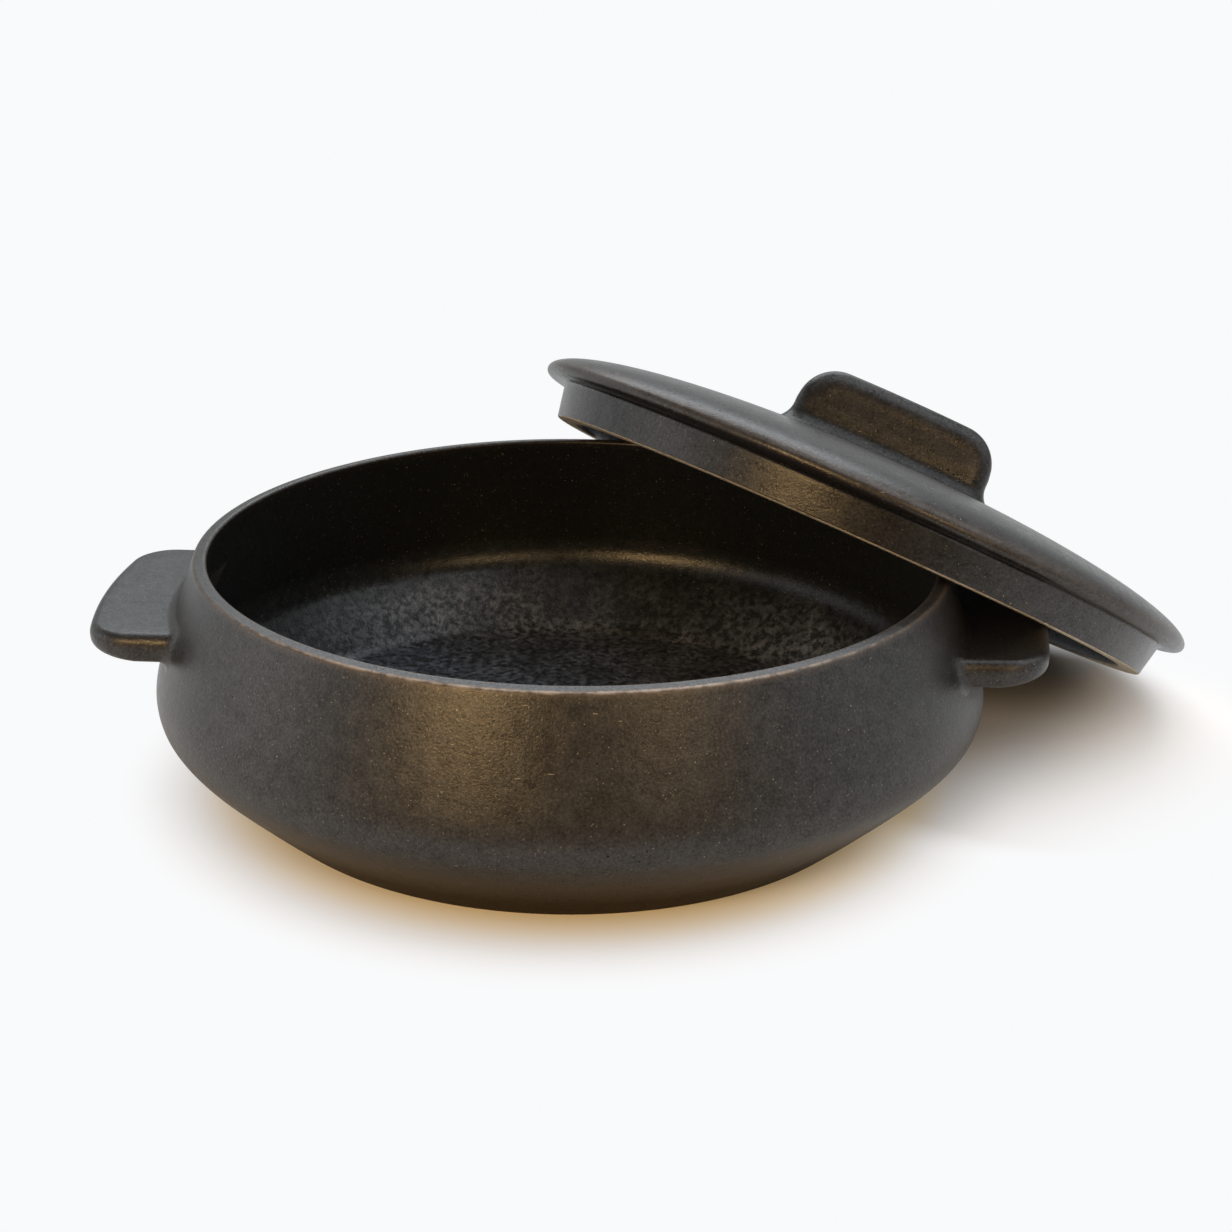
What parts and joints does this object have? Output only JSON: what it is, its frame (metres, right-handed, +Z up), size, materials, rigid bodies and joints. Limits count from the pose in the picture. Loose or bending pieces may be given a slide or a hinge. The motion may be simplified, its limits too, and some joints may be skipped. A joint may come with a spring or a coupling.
{
  "type": "covered casserole dish",
  "caption": "Low round stoneware casserole with flat lug handles, a rounded belly and a loose domed lid with a fin handle and a locating flange, leaning on the rim.",
  "frame": {"origin": "centre of the flat foot that the pot stands on", "axes": "+Z up along the pot's axis, X through the two lug handles, the lid leaning on the side of +X and +Y"},
  "size_m": [0.3205, 0.2914, 0.1149],
  "materials": {
    "pot_glaze": "satin bronze-black glaze with fine specks",
    "lid_glaze": "satin bronze-black glaze with fine specks"
  },
  "bodies": {
    "pot": {"pot_body": "pot_glaze", "left_lug": "pot_glaze", "right_lug": "pot_glaze"},
    "lid": {"lid_cover": "lid_glaze", "lid_flange": "lid_glaze", "lid_fin": "lid_glaze"}
  },
  "joints": [
    {"name": "lid_lift", "type": "slide", "parent": "pot", "child": "lid", "axis": [0, 0, 1], "range_m": [0, 0.13]}
  ]
}
